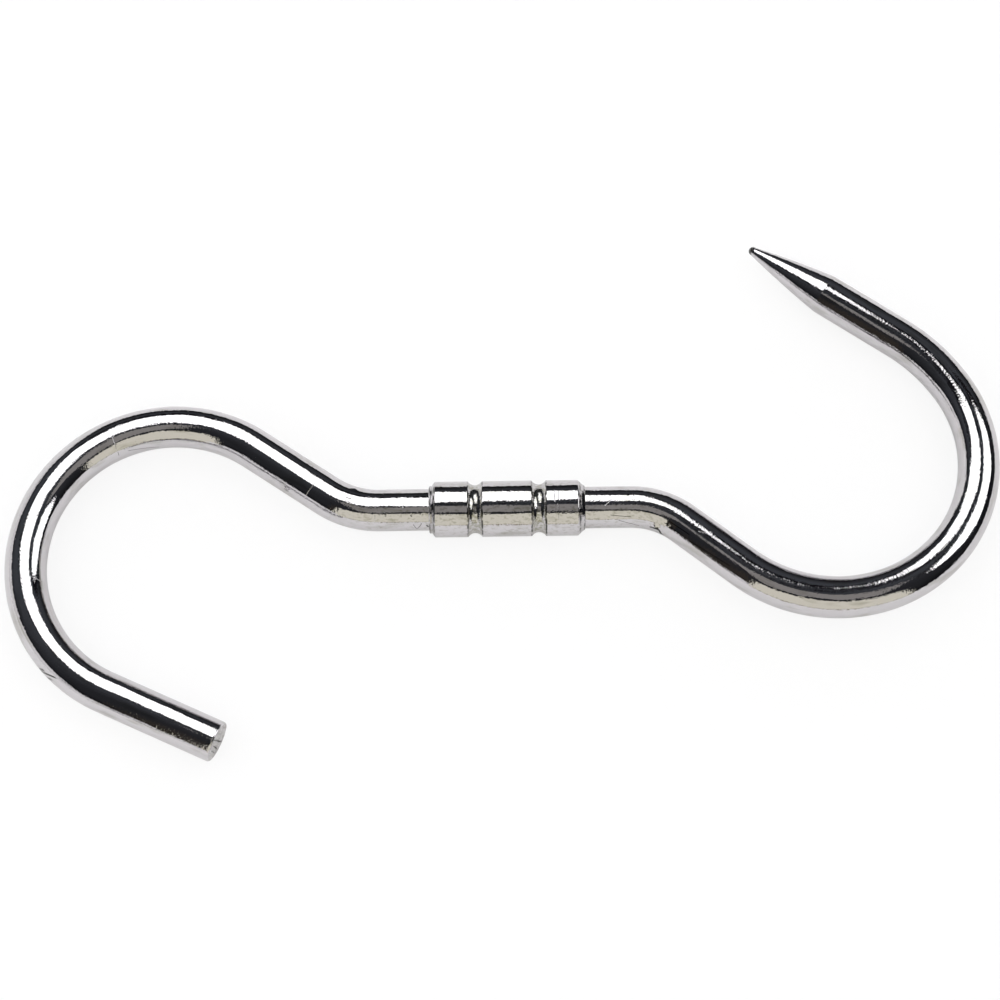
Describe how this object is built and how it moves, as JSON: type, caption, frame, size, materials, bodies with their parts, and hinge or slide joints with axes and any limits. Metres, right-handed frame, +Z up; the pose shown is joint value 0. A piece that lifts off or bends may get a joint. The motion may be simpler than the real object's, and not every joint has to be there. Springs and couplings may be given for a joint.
{
  "type": "swivel s hook",
  "caption": "Swivel S hook of polished steel bar: a blunt hook for a rail and a pointed hook for the load turn in one grooved sleeve.",
  "frame": {"origin": "on the floor, at the middle of the footprint of the hook lying flat", "axes": "+X along the swivel axis from the rail hook to the load hook, +Y towards the side that the load hook's point is on, +Z up, out of the plane that the S lies in"},
  "size_m": [0.2394, 0.13, 0.0134],
  "materials": {
    "bar_steel": "polished",
    "sleeve_steel": "polished"
  },
  "bodies": {
    "rail_hook": {"rail_hook": "bar_steel"},
    "sleeve": {"sleeve": "sleeve_steel"},
    "load_hook": {"load_hook": "bar_steel"}
  },
  "joints": [
    {"name": "rail_swivel", "type": "hinge", "parent": "rail_hook", "child": "sleeve", "pos_m": [-0.00724, -0.00425, 0.0067], "axis": [1, 0, 0], "continuous": true},
    {"name": "load_swivel", "type": "hinge", "parent": "sleeve", "child": "load_hook", "pos_m": [0.00806, -0.00425, 0.0067], "axis": [1, 0, 0], "continuous": true}
  ]
}
